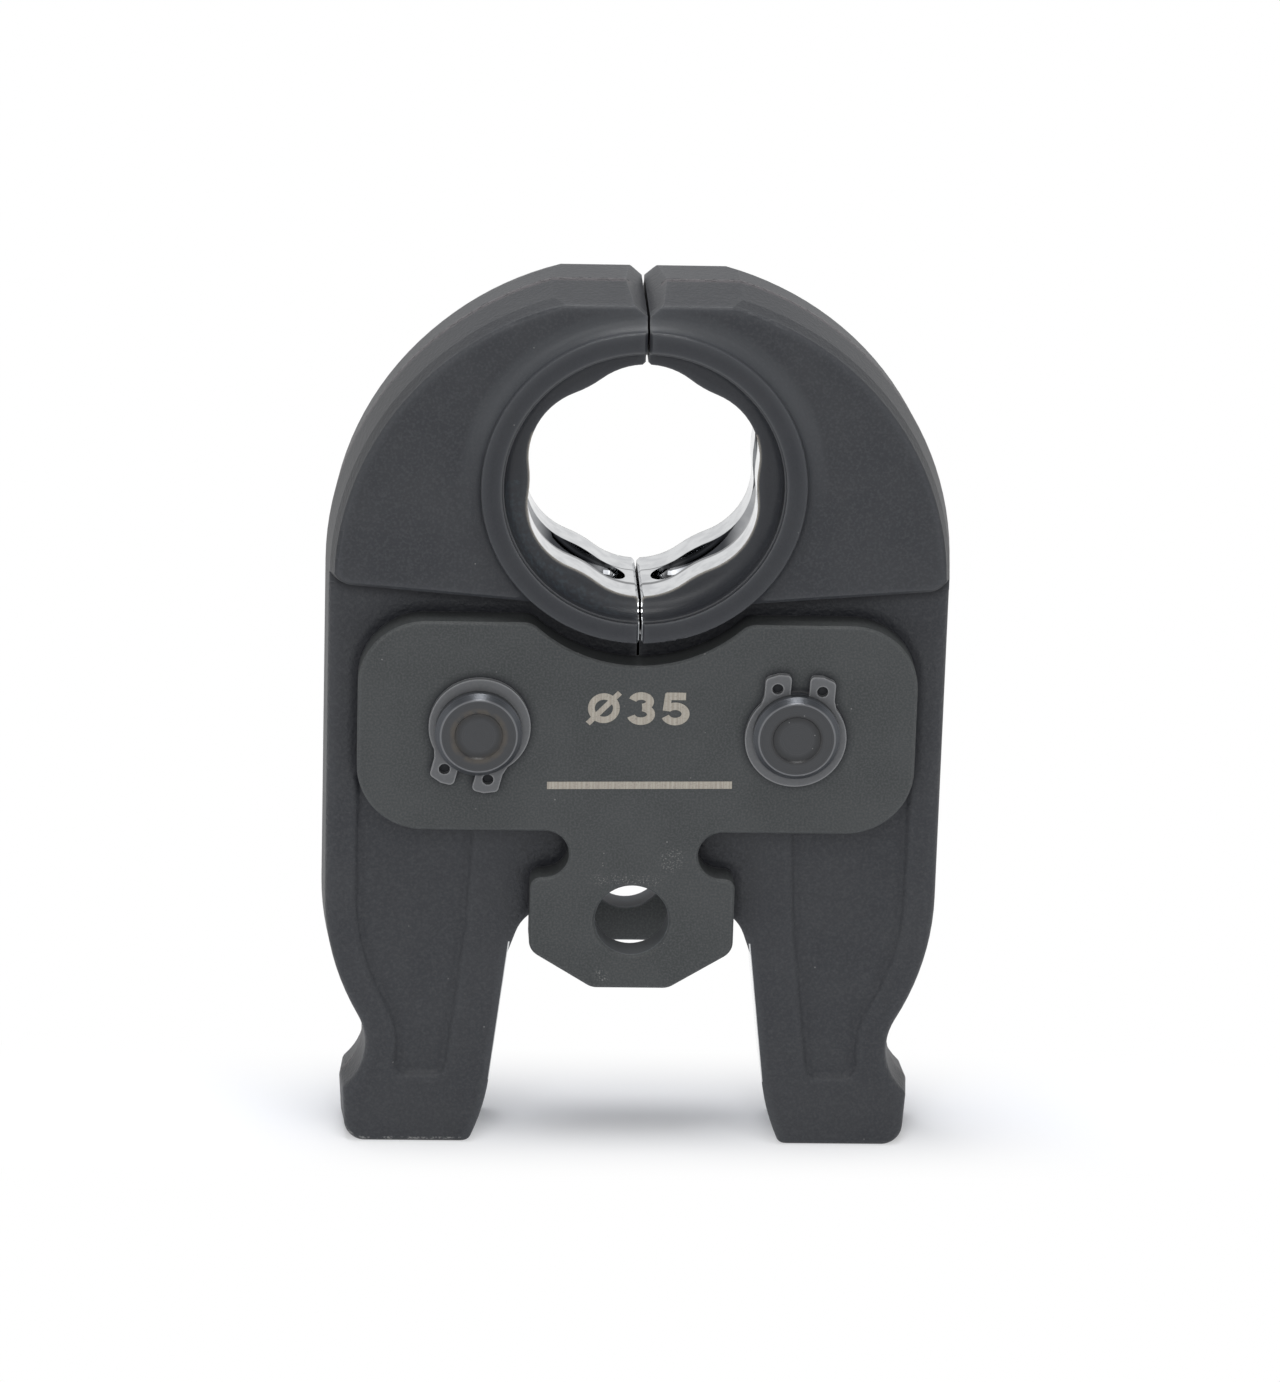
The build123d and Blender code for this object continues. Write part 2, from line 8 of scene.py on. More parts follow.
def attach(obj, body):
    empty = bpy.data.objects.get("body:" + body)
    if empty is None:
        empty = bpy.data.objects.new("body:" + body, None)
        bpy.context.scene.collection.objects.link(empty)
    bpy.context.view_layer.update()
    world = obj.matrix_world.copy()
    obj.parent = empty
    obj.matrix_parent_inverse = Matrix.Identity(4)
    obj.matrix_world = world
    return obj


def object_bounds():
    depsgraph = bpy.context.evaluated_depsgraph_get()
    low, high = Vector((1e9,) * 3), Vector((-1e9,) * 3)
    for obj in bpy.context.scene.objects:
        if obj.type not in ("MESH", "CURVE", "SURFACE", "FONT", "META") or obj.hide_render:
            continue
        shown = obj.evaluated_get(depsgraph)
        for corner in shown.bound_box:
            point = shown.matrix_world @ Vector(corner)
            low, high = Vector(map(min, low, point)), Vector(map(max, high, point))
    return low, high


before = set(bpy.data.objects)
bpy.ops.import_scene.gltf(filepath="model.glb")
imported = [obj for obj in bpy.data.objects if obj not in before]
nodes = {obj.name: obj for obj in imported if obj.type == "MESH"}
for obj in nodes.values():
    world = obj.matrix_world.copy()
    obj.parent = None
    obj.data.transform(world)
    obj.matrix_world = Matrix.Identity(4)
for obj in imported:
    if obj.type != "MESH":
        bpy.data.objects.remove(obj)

cad_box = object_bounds()
scene = bpy.context.scene
scene.view_settings.view_transform = "Standard"
mm = 0.001


# Camera. It looks down on the front of the jaw from a little to its left,
# from far enough away for the jaw to look almost flat, and it leans slightly.
image_width, image_height = 1280, 1382
focal_pixels = 6882
camera_turn = math.radians(2.98)
camera_tilt = math.radians(20.35)
camera_lean = math.radians(1.71)
camera_distance = 1.1
look_at = Vector((0.25, -12.95, 39.7)) * mm

to_camera = Vector((
    -math.sin(camera_turn) * math.cos(camera_tilt),
    -math.cos(camera_turn) * math.cos(camera_tilt),
    math.sin(camera_tilt),
))
level_right = Vector((math.cos(camera_turn), -math.sin(camera_turn), 0))
level_up = to_camera.cross(level_right)
camera_right = level_right * math.cos(camera_lean) + level_up * math.sin(camera_lean)
camera_up = level_up * math.cos(camera_lean) - level_right * math.sin(camera_lean)

camera_data = bpy.data.cameras.new("camera")
camera_data.sensor_width = 36
camera_data.lens = camera_data.sensor_width * focal_pixels / max(image_width, image_height)
camera_data.clip_start = 0.05
camera_data.clip_end = 50
camera = bpy.data.objects.new("camera", camera_data)
scene.collection.objects.link(camera)
camera.matrix_world = Matrix.Translation(look_at + to_camera * camera_distance) @ Matrix(
    (camera_right, camera_up, to_camera)
).transposed().to_4x4()
scene.camera = camera


# Studio. A white paper sweep under one large soft light, with a wide light in
# front, and the white room around them.
class Field:
    """A socket of a node tree whose value varies. Arithmetic on it adds Math nodes."""

    def __init__(self, finish, socket):
        self.finish = finish
        self.socket = socket

    def math(self, operation, *values):
        return self.finish.node("ShaderNodeMath", {"operation": operation}, values)

    def __add__(self, other):
        return self.math("ADD", self, other)

    def __radd__(self, other):
        return self.math("ADD", other, self)

    def __sub__(self, other):
        return self.math("SUBTRACT", self, other)

    def __rsub__(self, other):
        return self.math("SUBTRACT", other, self)

    def __mul__(self, other):
        return self.math("MULTIPLY", self, other)

    def __rmul__(self, other):
        return self.math("MULTIPLY", other, self)

    def __pow__(self, other):
        return self.math("POWER", self, other)

    def __lt__(self, other):
        return self.math("LESS_THAN", self, other)

    def __gt__(self, other):
        return self.math("GREATER_THAN", self, other)

    def __abs__(self):
        return self.math("ABSOLUTE", self)

    def low(self, other):
        """The lower of the two."""
        return self.math("MINIMUM", self, other)

    def high(self, other):
        """The higher of the two."""
        return self.math("MAXIMUM", self, other)

    def within(self, start, end):
        """1 between start and end, and 0 outside them."""
        return (self > start) * (self < end)

    def rise(self, start, end):
        """0 below start and 1 above end, with a smooth step between them."""
        values = {"Value": self, "From Min": start, "From Max": end}
        return self.finish.node("ShaderNodeMapRange", {"interpolation_type": "SMOOTHSTEP"}, values)

    def fall(self, start, end):
        """1 below start and 0 above end, with a smooth step between them."""
        return 1 - self.rise(start, end)


class Finish:
    """The node tree of a material or of the world."""

    def __init__(self, owner):
        owner.use_nodes = True
        self.tree = owner.node_tree
        self.tree.nodes.clear()

    def node(self, kind, settings=None, values=None, output=0):
        """Adds a node: its settings first, then the values or links of its sockets."""
        made = self.tree.nodes.new(kind)
        for name, value in (settings or {}).items():
            setattr(made, name, value)
        pairs = values.items() if isinstance(values, dict) else enumerate(values or ())
        for key, value in pairs:
            if isinstance(value, Field):
                self.tree.links.new(value.socket, made.inputs[key])
            else:
                made.inputs[key].default_value = value
        return Field(self, made.outputs[output]) if made.outputs else None

    def blend(self, factor, first, second):
        """Colour that goes from the first to the second as the factor goes from 0 to 1.

        A Mix node has like-named sockets for each kind of value, so its colour
        sockets go by number.
        """
        values = {0: factor, 6: first, 7: second}
        return self.node("ShaderNodeMix", {"data_type": "RGBA"}, values, 2)


diffuse_strength = 0.36
ceiling_strength = 0.3
ceiling_start, ceiling_end = 0.35, 0.75
room = Finish(bpy.data.worlds.new("white_room"))
scene.world = bpy.data.worlds["white_room"]
seen = room.node("ShaderNodeLightPath", output="Is Camera Ray")
mirrored = room.node("ShaderNodeLightPath", output="Is Glossy Ray")
way = room.node("ShaderNodeTexCoord", output="Generated")
height = room.node("ShaderNodeSeparateXYZ", None, [way], "Z")
glossy_strength = 1 - height.rise(ceiling_start, ceiling_end) * (1 - ceiling_strength)
room_strength = diffuse_strength + mirrored * (glossy_strength - diffuse_strength)
room_strength = room_strength * (1 - seen) + seen
room_values = {"Color": (1, 1, 1, 1), "Strength": room_strength}
background = room.node("ShaderNodeBackground", None, room_values)
room.node("ShaderNodeOutputWorld", None, {"Surface": background})

lights_aim = Vector((0, 0, 0.03))


def soft_light(name, place, width, height, power):
    """A rectangular area light at a place, turned to face the middle of the jaw."""
    lamp = bpy.data.lights.new(name, "AREA")
    lamp.shape = "RECTANGLE"
    lamp.size, lamp.size_y = width, height
    lamp.energy = power
    stand = bpy.data.objects.new(name, lamp)
    scene.collection.objects.link(stand)
    facing = (lights_aim - Vector(place)).to_track_quat("-Z", "Y").to_matrix().to_4x4()
    stand.matrix_world = Matrix.Translation(place) @ facing


soft_light("overhead_light", place=(-0.05, -0.02, 0.85), width=0.7, height=0.28, power=5.6)
soft_light("front_light", place=(-0.2, -1.3, 0.9), width=0.9, height=0.7, power=7.5)

floor_half = 4.0
floor_level = cad_box[0].z
floor_mesh = bpy.data.meshes.new("floor")
floor_signs = ((-1, -1), (1, -1), (1, 1), (-1, 1))
floor_corners = [(x * floor_half, y * floor_half, floor_level) for x, y in floor_signs]
floor_mesh.from_pydata(floor_corners, [], [(0, 1, 2, 3)])
floor = bpy.data.objects.new("floor", floor_mesh)
scene.collection.objects.link(floor)

shade_y = 0.005
shade_stretch = 0.01
shade_start, shade_end = -0.002, 0.028
paper_start, paper_end = 0.09, 0.26
floor_material = bpy.data.materials.new("white_sweep")
sweep = Finish(floor_material)
sweep_place = sweep.node("ShaderNodeTexCoord", output="Object")
from_jaw = sweep.node("ShaderNodeVectorMath", {"operation": "LENGTH"}, [sweep_place], "Value")
sweep_x, sweep_y = (sweep.node("ShaderNodeSeparateXYZ", None, [sweep_place], axis) for axis in "XY")
from_shade = sweep_y - shade_y
from_shade = (sweep_x * sweep_x * shade_stretch + from_shade * from_shade) ** 0.5
sweep_seen = sweep.node("ShaderNodeLightPath", output="Is Camera Ray")
sweep_seen = sweep_seen.high(sweep.node("ShaderNodeLightPath", output="Is Glossy Ray"))
paper_values = {"Base Color": (0.915, 0.93, 0.97, 1), "Roughness": 0.9, "Specular IOR Level": 0.0}
paper = sweep.node("ShaderNodeBsdfPrincipled", None, paper_values)
far_white = sweep.node("ShaderNodeEmission", None, {"Color": (1, 1, 1, 1), "Strength": 1.0})
paper_fade = from_jaw.rise(paper_start, paper_end).high(from_shade.rise(shade_start, shade_end))
sweep_values = [sweep_seen * paper_fade, paper, far_white]
sweep_shader = sweep.node("ShaderNodeMixShader", None, sweep_values)
sweep.node("ShaderNodeOutputMaterial", None, {"Surface": sweep_shader})
floor_mesh.materials.append(floor_material)


# Side plates. Two T-shaped plates cut from 5 mm steel, deburred and dark
# phosphated. Handling has left pale specks and thin bright edges on them.
def coordinates(finish):
    """The piece's own coordinates in millimetres, as a vector and as three fields."""
    own = finish.node("ShaderNodeTexCoord", output="Object")
    scaled = finish.node("ShaderNodeVectorMath", {"operation": "SCALE"}, {0: own, "Scale": 1 / mm})
    split = [finish.node("ShaderNodeSeparateXYZ", None, [scaled], axis) for axis in "XYZ"]
    return scaled, *split


def square_distance(across, up):
    """Square of the distance to a point that lies this far across and up."""
    return across * across + up * up


def grain(finish, place, size, detail=2.0, roughness=0.5):
    """Noise between 0 and 1, its patches about the size given in millimetres."""
    values = {"Vector": place, "Scale": 1 / size, "Detail": detail, "Roughness": roughness}
    return finish.node("ShaderNodeTexNoise", None, values)


def specks(finish, place, spacing, radius, share):
    """1 on round specks scattered at a spacing, in a share of the places for them."""
    values = {"Vector": place, "Scale": 1 / spacing}
    near = finish.node("ShaderNodeTexVoronoi", {"feature": "F1"}, values, "Distance")
    tint = finish.node("ShaderNodeTexVoronoi", {"feature": "F1"}, values, "Color")
    lot = finish.node("ShaderNodeSeparateColor", None, [tint])
    reach = radius / spacing
    return near.fall(reach / 2, reach) * (lot < share)


def worn_edges(finish, reach, samples=6):
    """1 on convex edges and 0 a reach in millimetres away from them."""
    settings = {"inside": True, "only_local": True, "samples": samples}
    values = {"Distance": reach * mm}
    return 1 - finish.node("ShaderNodeAmbientOcclusion", settings, values, "AO")


def corners_within(finish, reach, samples=4):
    """1 deep in corners and close under neighbours, 0 a reach in millimetres away."""
    values = {"Distance": reach * mm}
    return 1 - finish.node("ShaderNodeAmbientOcclusion", {"samples": samples}, values, "AO")


def layered(finish, color, layers):
    """Colour under layers laid on in turn: each a mask, how much it covers, and its colour."""
    for mask, cover, tint in layers:
        color = finish.blend(mask * cover, color, tint)
    return color


def surface(finish, color, roughness, height, depth, **more):
    """Ends a finish: one Principled surface, with its relief in millimetres of depth."""
    relief_values = {"Strength": 1.0, "Distance": depth * mm, "Height": height}
    relief = finish.node("ShaderNodeBump", None, relief_values)
    values = {"Base Color": color, "Roughness": roughness, "Normal": relief}
    values.update({name.replace("_", " "): value for name, value in more.items()})
    shaded = finish.node("ShaderNodeBsdfPrincipled", None, values)
    finish.node("ShaderNodeOutputMaterial", None, {"Surface": shaded})


def finished(names, material):
    """Gives the nodes with these names their finish."""
    for name in names:
        nodes[name].data.materials.clear()
        nodes[name].data.materials.append(material)


rub_row_x, rub_row_z = -1.0, 7.1
rub_patch_x, rub_patch_z = 6.3, 10.6
scuff_x, scuff_z = -4.6, -9.6
hole_square = 36.8
# How far the lighter bore-wall colour covers: less on the front plate as painted shade, more on the
# back plate as painted light.
shaded_front_hole_cover, lit_back_hole_cover = 0.35, 0.85
pale_speck = (0.19, 0.19, 0.185, 1)
# Colour of the painted shade in corners, close under neighbouring parts and in recesses.
painted_shade_color = (0.009, 0.010, 0.014, 1)

plate_material = bpy.data.materials.new("phosphated_plate")
plate = Finish(plate_material)
place, x, y, z = coordinates(plate)
plate_cloud = grain(plate, place, size=9.0, detail=3.0).rise(0.3, 0.7)
plate_fine = grain(plate, place, size=0.35)
plate_specks = specks(plate, place, spacing=2.6, radius=0.17, share=0.40)
rub_row = abs(z - rub_row_z).fall(0.4, 1.3) * abs(x - rub_row_x).fall(3.5, 7.0)
rub_patch = square_distance(x - rub_patch_x, z - rub_patch_z).fall(1.0, 7.0)
scuff = square_distance(x - scuff_x, z - scuff_z).fall(0.4, 2.2)
rub_grain = grain(plate, place, size=0.3, detail=3.0).rise(0.55, 0.66)
rubbed = rub_row.high(rub_patch).high(scuff) * (y < 0) * rub_grain
# Bore walls are lighter reamed steel, which is real; the back plate's walls are painted lighter
# than the front's as painted light.
hole_wall = square_distance(x, z) < hole_square
hole_cover = shaded_front_hole_cover + (y > 0) * (lit_back_hole_cover - shaded_front_hole_cover)
# Painted shade: the plates darken in their corners and close around the rings, pins and jaws.
plate_corner_shade = corners_within(plate, reach=1.6).rise(0.08, 0.45)
plate_edges = worn_edges(plate, reach=0.5)
plate_chips = grain(plate, place, size=1.3, detail=3.0).rise(0.38, 0.62)
plate_color = plate.blend(plate_cloud, (0.041, 0.045, 0.046, 1), (0.050, 0.054, 0.055, 1))
plate_color = layered(plate, plate_color, (
    (plate_fine.rise(0.35, 0.75), 0.6, (0.085, 0.088, 0.088, 1)),
    (plate_specks, 0.8, (0.20, 0.20, 0.195, 1)),
    (rubbed, 0.7, pale_speck),
    (plate_edges.rise(0.08, 0.45), 0.6, (0.135, 0.14, 0.145, 1)),
    (hole_wall, hole_cover, (0.125, 0.135, 0.15, 1)),
    (plate_corner_shade, 0.85, painted_shade_color),
    (plate_edges.rise(0.1, 0.6) * plate_chips, 0.45, (0.20, 0.20, 0.20, 1)),
))
surface(plate, plate_color, 0.52 + plate_fine * 0.14, plate_fine, 0.014, Specular_IOR_Level=0.32)
finished(("front_side_plate", "back_side_plate"), plate_material)


# Size mark and bar. Laser-etched on the front plate: a diameter sign and the
# size of the fitting, with a plain bar below them.
plate_face = nodes["front_side_plate"].bound_box[0][1] / mm


def etched_stroke(points, width, lift):
    """A flat rib carried along points of the plate's face, closed at its ends.

    Each station stands half the width to either side of its point, across the
    path's direction, and from as far inside the plate as it stands proud.
    """
    points = np.asarray(points, float)
    along = np.gradient(points, axis=0)
    along /= np.linalg.norm(along, axis=1, keepdims=True)
    across = np.stack([-along[:, 1], along[:, 0]], axis=1) * width / 2
    sides = np.array([-1, 1, 1, -1])
    lifts = np.array([lift, lift, -lift, -lift])
    flat = points[:, None] + across[:, None] * sides[None, :, None]
    depth = np.broadcast_to(plate_face - lifts, flat.shape[:2])
    corners = np.stack([flat[..., 0], depth, flat[..., 1]], axis=-1).reshape(-1, 3) * mm
    side = np.arange(len(sides))
    turn = (side + 1) % len(sides)
    station = np.arange(len(points) - 1)[:, None] * len(sides)
    after = station + len(sides)
    walls = np.stack([station + side, station + turn, after + turn, after + side], axis=-1)
    ends = [side[::-1], side + after[-1]]
    return corners, np.concatenate([walls.reshape(-1, len(sides)), ends])


def bow(center, across, up, start, end, count=40):
    """Points on an ellipse between two angles in degrees, anticlockwise from its right."""
    angle = np.radians(np.linspace(start, end, count))
    return np.stack([center[0] + across * np.cos(angle), center[1] + up * np.sin(angle)], axis=1)


def run(start, end, count=4):
    """Points on a straight line."""
    return np.linspace(start, end, count)


mark_stroke = 1.28
sign_stroke, slash_stroke, stem_stroke = mark_stroke * 0.85, mark_stroke * 0.7, mark_stroke * 0.9
mark_left, mark_foot = -8.2, 34.0
sign_x, three_x, five_x = 2.75, 8.7, 14.2
sign_z, sign_radius = 2.7, 2.0
slash_reach, slash_foot, slash_top = 2.5, 0.05, 5.35
bar_left, bar_right, bar_width = (-14.25, 23.35), (15.5, 23.75), 1.25
first_lift, lift_step = 0.010, 0.003
slash = run((sign_x - slash_reach, slash_foot), (sign_x + slash_reach, slash_top))
strokes = [
    (bow((sign_x, sign_z), sign_radius, sign_radius, 0, 360, 64), sign_stroke),
    (slash, slash_stroke),
    (bow((three_x, 3.88), 1.4, 0.98, 165, -82), mark_stroke),
    (bow((three_x, 1.72), 1.62, 1.17, 82, -165), mark_stroke),
    (run((five_x - 1.5, 4.86), (five_x + 1.65, 4.86)), mark_stroke),
    (run((five_x - 1.1, 5.3), (five_x - 1.45, 2.35)), stem_stroke),
    (bow((five_x, 1.86), 1.66, 1.31, 140, -160), mark_stroke),
]
strokes = [(path + (mark_left, mark_foot), width) for path, width in strokes]
strokes.append((run(bar_left, bar_right), bar_width))
mark_points, mark_faces = [], []
for order, (path, width) in enumerate(strokes):
    corners, faces = etched_stroke(path, width, first_lift + lift_step * order)
    mark_faces.append(faces + sum(map(len, mark_points)))
    mark_points.append(corners)
mark_mesh = bpy.data.meshes.new("size_mark")
mark_mesh.from_pydata(np.concatenate(mark_points), [], np.concatenate(mark_faces).tolist())
size_mark = bpy.data.objects.new("size_mark", mark_mesh)
scene.collection.objects.link(size_mark)


def streaks(finish, along, per_mm, detail):
    """Noise between 0 and 1 that varies along one field only, so many times a millimetre."""
    values = {"W": along, "Scale": per_mm, "Detail": detail}
    return finish.node("ShaderNodeTexNoise", {"noise_dimensions": "1D"}, values)


etch_material = bpy.data.materials.new("laser_etch")
etch = Finish(etch_material)
place, x, *_ = coordinates(etch)
hatch = streaks(etch, x, per_mm=2.6, detail=2.0).rise(0.35, 0.65)
etch_fine = grain(etch, place, size=0.3)
etch_color = etch.blend(hatch, (0.33, 0.30, 0.255, 1), (0.41, 0.38, 0.325, 1))
etch_color = layered(etch, etch_color, ((etch_fine.rise(0.5, 0.75), 0.5, (0.20, 0.19, 0.17, 1)),))
surface(etch, etch_color, 0.6 + etch_fine * 0.1, etch_fine, 0.008, Specular_IOR_Level=0.3)
mark_mesh.materials.append(etch_material)
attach(size_mark, "side_plates")


# Jaws. Two steel forgings with a rough drafted skin and a dark coat. The
# pressing contour and the cam faces are ground bright afterwards.
jaw_material = bpy.data.materials.new("coated_forging")
jaw = Finish(jaw_material)
place, x, y, z = coordinates(jaw)
side = abs(x)
depth = abs(y)
jaw_fine = grain(jaw, place, size=0.4)
skin = grain(jaw, place, size=0.75, roughness=0.6)
jaw_cloud = grain(jaw, place, size=11.0, detail=3.0).rise(0.3, 0.7)
jaw_chips = grain(jaw, place, size=1.2, detail=3.0)
jaw_edges = worn_edges(jaw, reach=0.5, samples=5)
soft_edges = worn_edges(jaw, reach=1.6, samples=4).rise(0.04, 0.25)

bore_z = 73.88
contour_reach, contour_depth = 22.3, 9.3
contact_face = 0.24
gap_edge_start, gap_edge_end = 0.21, 0.36
gap_edge_inside, gap_edge_outside = 18.5, 26.4
from_bore = square_distance(x, z - bore_z) ** 0.5
contour = (from_bore < contour_reach) * (depth < contour_depth) * (side > contact_face)
gap_edge = side.within(gap_edge_start, gap_edge_end) * (z < bore_z)
gap_edge = gap_edge * from_bore.within(gap_edge_inside, gap_edge_outside)

cam_x, cam_z = 19.85, -8.0
cam_slope = math.tan(math.radians(6.6))
cam_skin = 0.12
cam_foot, cam_top = -30.5, -6.0
flare_foot, flare_top = -41.2, -29.8
flare_depth, flare_side, flare_reach = 7.0, 26.0, 3.2
cam_line = cam_x - (z - cam_z) * cam_slope
cam = (abs(side - cam_line) < cam_skin) * z.within(cam_foot, cam_top)
cam_flare = z.within(flare_foot, flare_top) * (depth < flare_depth)
cam_flare = cam_flare * (side < flare_side) * (side < cam_line + flare_reach)
ground = contour.high(gap_edge).high(cam).high(cam_flare)

head_foot, head_foot_slope = 51.5, 0.084
boss_radius, boss_depth = 26.0, 9.2
wall_skin = 0.55
head = (z - head_foot - side * head_foot_slope).rise(-0.4, 0.4)
wall = depth.fall(11.0, 11.5)
turned = (from_bore < boss_radius) * (depth > boss_depth)
skin_share = ((1 - head) + head * wall * wall_skin) * (1 - turned)

cove_radius, cove_depth = 27.2, 9.0
pocket_depth, pocket_top = 7.8, 52.0
# Below this height the feet get no painted corner shade.
corner_shade_foot = -38.0
cove = abs(from_bore - cove_radius).fall(0.8, 2.8) * (depth > cove_depth)
cove_sheen = cove * (z - bore_z).rise(-10.0, 14.0)
# Painted shade: the jaws darken in their corners, close under the plates and the other jaw, and on
# the web under the boss; the feet and the cove's top are left out.
pocket = from_bore.fall(27.0, 31.0) * (depth < pocket_depth) * (z < pocket_top)
jaw_corner_shade = corners_within(jaw, reach=1.8).rise(0.03, 0.22) * (z > corner_shade_foot)
jaw_painted_shade = jaw_corner_shade.high(pocket) * (1 - cove_sheen)

head_arc_x, head_arc_z, head_arc_radius = 0.7, 57.0, 46.6
leg_outside = 40.0
from_head_arc = square_distance(side - head_arc_x, z - head_arc_z) ** 0.5
outer_wall = (from_head_arc > head_arc_radius).high(side > leg_outside)
# Painted shade on the head's outer side walls, strongest low down and gone near the top.
side_wall_shade = outer_wall * head * wall * z.fall(82.0, 104.0)
trim = depth.fall(0.5, 1.1) * outer_wall
trim_pits = trim * grain(jaw, place, size=0.8, detail=1.0).rise(0.55, 0.62)

lead_in_reach = 22.2
tint_x = -9.0
lead_in = (from_bore < lead_in_reach) * depth.rise(9.35, 9.5) * (z < bore_z)
lead_in = lead_in * (x - tint_x).fall(-2.0, 12.0)
heat_tint = lead_in * grain(jaw, place, size=0.7, detail=3.0).rise(0.4, 0.75)
scale = side.fall(17.5, 22.5) * z.rise(-16.0, -9.0) * z.fall(10.0, 15.0)

toe_x, toe_z, toe_radius = -42.9, -37.8, 3.35
foot_inside, foot_depth, foot_top = -26.5, 7.0, -35.0
lip_reach, lip_top = 20.6, bore_z + 8.0
toe = square_distance((x - toe_x).low(0.0), (z - toe_z).low(0.0)) ** 0.5
foot = (x < foot_inside) * (depth > foot_depth) * (z < foot_top)
foot_line = abs(toe - toe_radius).fall(0.15, 0.35) * foot
foot_wear = foot_line * jaw_chips.rise(0.46, 0.56) * jaw_fine.rise(0.42, 0.55)
jaw_wear = jaw_edges.rise(0.15, 0.7) * jaw_chips.rise(0.42, 0.6).high(turned)
lip = (from_bore < lip_reach) * (depth > contour_depth) * (z < lip_top)
lip_wear = lip * jaw_edges.rise(0.1, 0.4)

groove_ring, groove_radius = 19.0, 3.2
groove_edge_y = -3.5
shade_side = 11.0
from_groove = square_distance(from_bore - groove_ring, y) ** 0.5
groove = contour * abs(from_groove - groove_radius).fall(0.08, 0.3)
# Painted dark reflections on the ground contour: a dark lens in the groove low on each side, darker
# groove ends near the gap, and a dark line along the groove's front edge.
groove_shade = groove * y.rise(-1.6, 0.4) * (0.96 - abs(side - shade_side).rise(2.5, 6.5) * 0.55)
groove_shade = groove_shade.high(groove * side.fall(5.0, 8.0) * 0.75)
groove_edge = contour * abs(y - groove_edge_y).fall(0.25, 0.7) * 0.8
haze = grain(jaw, place, size=2.2, detail=3.0).rise(0.35, 0.7)
ground_color = jaw.blend(haze * 0.5, (0.62, 0.63, 0.64, 1), (0.38, 0.39, 0.41, 1))
groove_dark_reflection = groove_shade.high(groove_edge)
ground_color = jaw.blend(groove_dark_reflection, ground_color, (0.03, 0.032, 0.038, 1))

jaw_specks = specks(jaw, place, spacing=3.0, radius=0.17, share=0.30)
jaw_color = jaw.blend(jaw_cloud, (0.0285, 0.0305, 0.0355, 1), (0.035, 0.037, 0.0415, 1))
jaw_color = layered(jaw, jaw_color, (
    (skin.rise(0.45, 0.75) * skin_share, 0.35, (0.065, 0.067, 0.071, 1)),
    (jaw_fine.rise(0.4, 0.75), 0.4 - turned * 0.25, (0.065, 0.067, 0.072, 1)),
    (jaw_specks, 0.8, pale_speck),
    (cove_sheen, 0.6, (0.066, 0.070, 0.076, 1)),
    (jaw_painted_shade, 0.85, painted_shade_color),
    (side_wall_shade, 0.45, (0.009, 0.010, 0.012, 1)),
    (trim, 0.6, (0.088, 0.078, 0.084, 1)),
    (trim_pits, 0.45, (0.014, 0.014, 0.016, 1)),
    (heat_tint, 0.45, (0.07, 0.10, 0.12, 1)),
    (soft_edges, 0.3, (0.075, 0.079, 0.086, 1)),
    (skin.rise(0.48, 0.58) * scale, 0.45, (0.012, 0.013, 0.016, 1)),
    (turned, 0.3, (0.016, 0.018, 0.023, 1)),
    # Painted highlight: a thin lighter line along all the jaws' convex edges.
    (jaw_edges.rise(0.05, 0.4), 0.35, (0.095, 0.099, 0.106, 1)),
    (jaw_wear, 0.35, (0.18, 0.18, 0.18, 1)),
    (foot_wear, 0.7, (0.30, 0.30, 0.29, 1)),
    (lip_wear, 0.8, (0.42, 0.39, 0.34, 1)),
    (ground, 1.0, ground_color),
))
ground_roughness = 0.07
coat_roughness = 0.42 + jaw_fine * 0.14 - turned * 0.08
jaw_roughness = coat_roughness * (1 - ground) + ground * ground_roughness
jaw_relief = (jaw_fine * 0.2 + skin * skin_share - trim_pits) * (1 - ground)
surface(jaw, jaw_color, jaw_roughness, jaw_relief, 0.16, Metallic=ground, Specular_IOR_Level=0.31)
finished(("left_jaw", "right_jaw"), jaw_material)


# Pivot pins. Turned from steel bar, with fine tool rings and a shallow dish in
# their ends, then darkened. The oil in one dish has left a brown stain.
pivot_x, pivot_z = 25.45, 32.85
dish_radius, dish_line_radius, stain_radius = 3.4, 3.8, 4.0
edge_start, edge_end, rim_radius, shank_radius = 6.05, 6.2, 6.1, 6.9

pin_material = bpy.data.materials.new("turned_pin")
pin = Finish(pin_material)
place, x, y, z = coordinates(pin)
from_axis = square_distance(abs(x) - pivot_x, z - pivot_z) ** 0.5
tool_rings = streaks(pin, from_axis, per_mm=6.0, detail=3.0)
dish_line = abs(from_axis - dish_line_radius).fall(0.2, 0.55)
dish_shade = abs(from_axis - dish_radius).fall(0.1, 0.8)
stain = abs(from_axis - stain_radius).fall(0.3, 1.0) * grain(pin, place, size=1.6).rise(0.25, 0.6)
turned_edge = from_axis.rise(edge_start, edge_end)
pin_rim = abs(from_axis - rim_radius).fall(0.08, 0.22)
pin_base = (from_axis > shank_radius) * abs(y).fall(14.1, 14.9)
pin_specks = specks(pin, place, spacing=2.0, radius=0.12, share=0.25)
pin_wear = worn_edges(pin, reach=0.3).rise(0.1, 0.6)
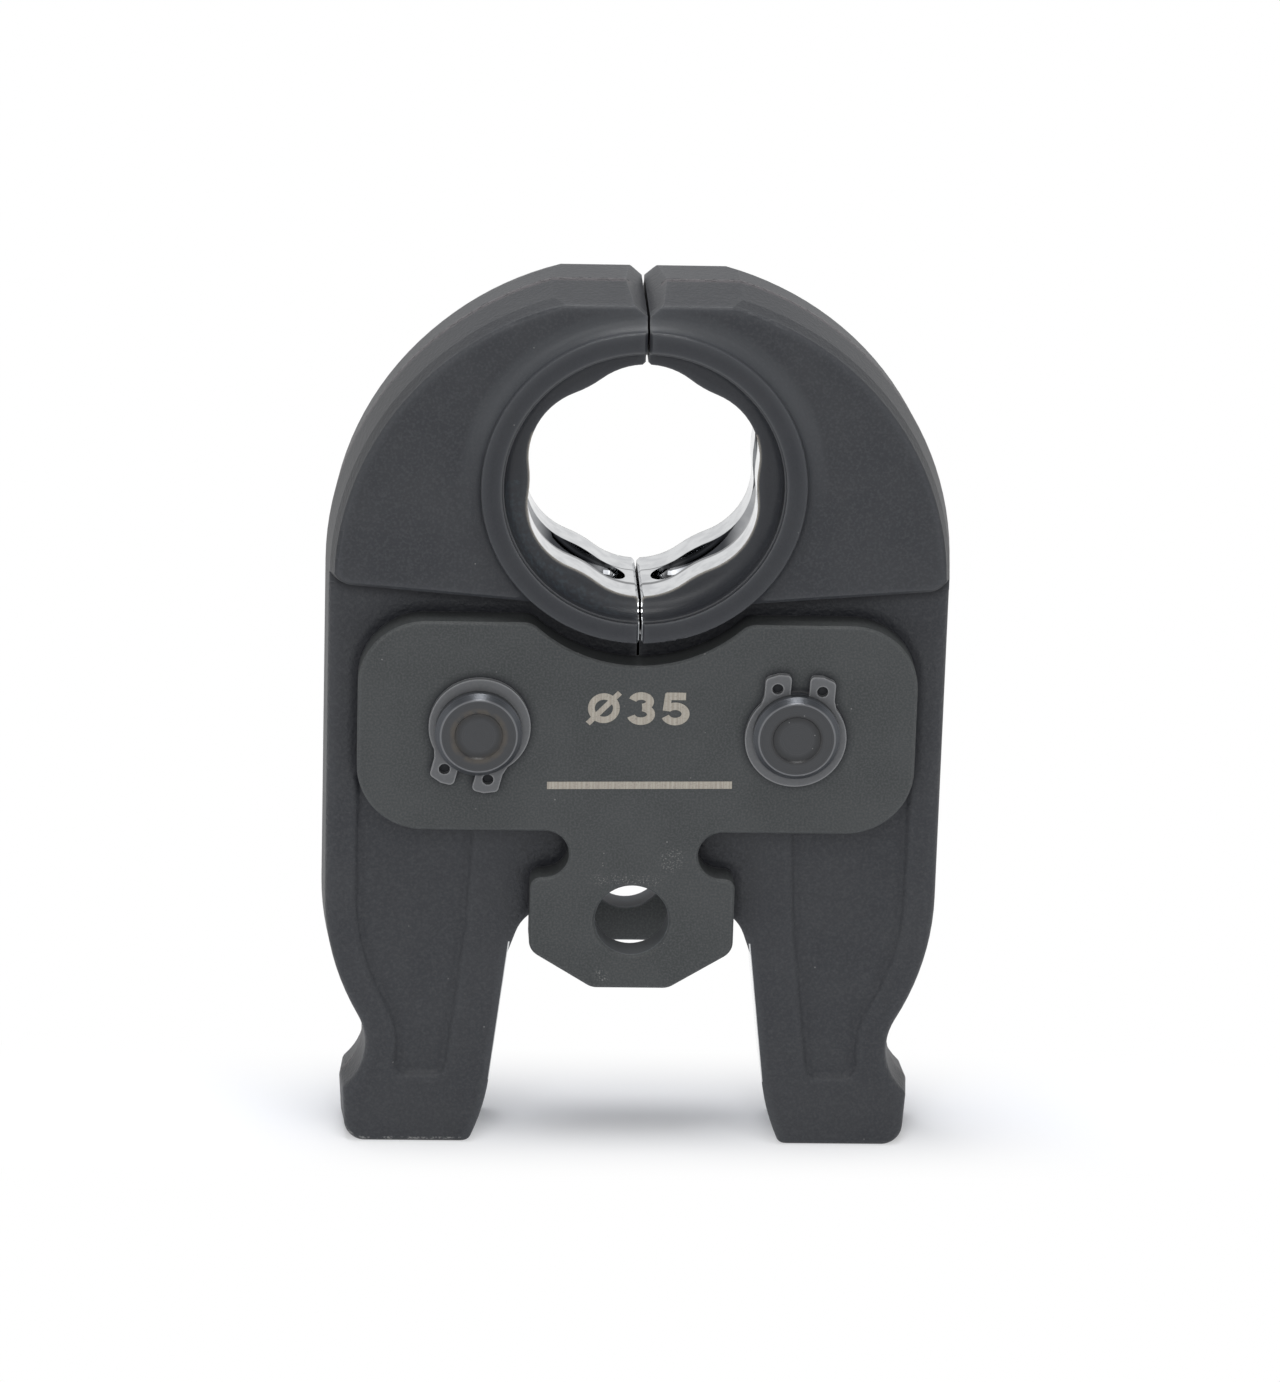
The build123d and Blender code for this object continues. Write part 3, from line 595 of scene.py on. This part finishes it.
pin_color = pin.blend(tool_rings, (0.024, 0.026, 0.029, 1), (0.042, 0.044, 0.048, 1))
pin_color = layered(pin, pin_color, (
    (dish_line, 0.85, (0.012, 0.012, 0.013, 1)),
    (stain * (x < 0), 0.5, (0.085, 0.068, 0.048, 1)),
    (turned_edge, 1.0, (0.072, 0.077, 0.086, 1)),
    (dish_shade, 0.75, (0.013, 0.014, 0.016, 1)),
    (pin_rim, 0.6, (0.20, 0.205, 0.215, 1)),
    (pin_base, 0.85, (0.010, 0.011, 0.013, 1)),
    (pin_specks, 0.6, (0.28, 0.28, 0.28, 1)),
    (pin_wear, 0.5, (0.3, 0.3, 0.3, 1)),
))
pin_roughness = 0.36 + tool_rings * 0.1 - turned_edge * 0.12
surface(pin, pin_color, pin_roughness, tool_rings, 0.012, Metallic=turned_edge * 0.6)
finished(("left_pivot_pin", "right_pivot_pin"), pin_material)


# Retaining rings. Four open rings stamped from spring steel strip and dark
# phosphated, each sprung into the groove at one end of a pin.
ring_material = bpy.data.materials.new("stamped_ring")
ring = Finish(ring_material)
place, *_ = coordinates(ring)
ring_grain = grain(ring, place, size=0.5, detail=3.0)
ring_edges = worn_edges(ring, reach=0.4).rise(0.12, 0.5)
ring_color = ring.blend(ring_grain, (0.090, 0.093, 0.098, 1), (0.126, 0.129, 0.134, 1))
ring_color = layered(ring, ring_color, ((ring_edges, 0.7, (0.30, 0.305, 0.31, 1)),))
surface(ring, ring_color, 0.42 + ring_grain * 0.1, ring_grain, 0.008, Metallic=0.2)
finished([name for name in nodes if name.endswith("retaining_ring")], ring_material)


# Closing spring. Drawn spring steel wire, coiled cold and left bright. It lies
# in wells between the jaws and presses their legs apart.
spring_material = bpy.data.materials.new("spring_wire")
wire = Finish(spring_material)
place, *_ = coordinates(wire)
wire_grain = grain(wire, place, size=0.6, detail=3.0)
wire_color = wire.blend(wire_grain, (0.25, 0.25, 0.25, 1), (0.38, 0.38, 0.37, 1))
surface(wire, wire_color, 0.3 + wire_grain * 0.1, wire_grain, 0.005, Metallic=1.0)
finished(("closing_spring",), spring_material)
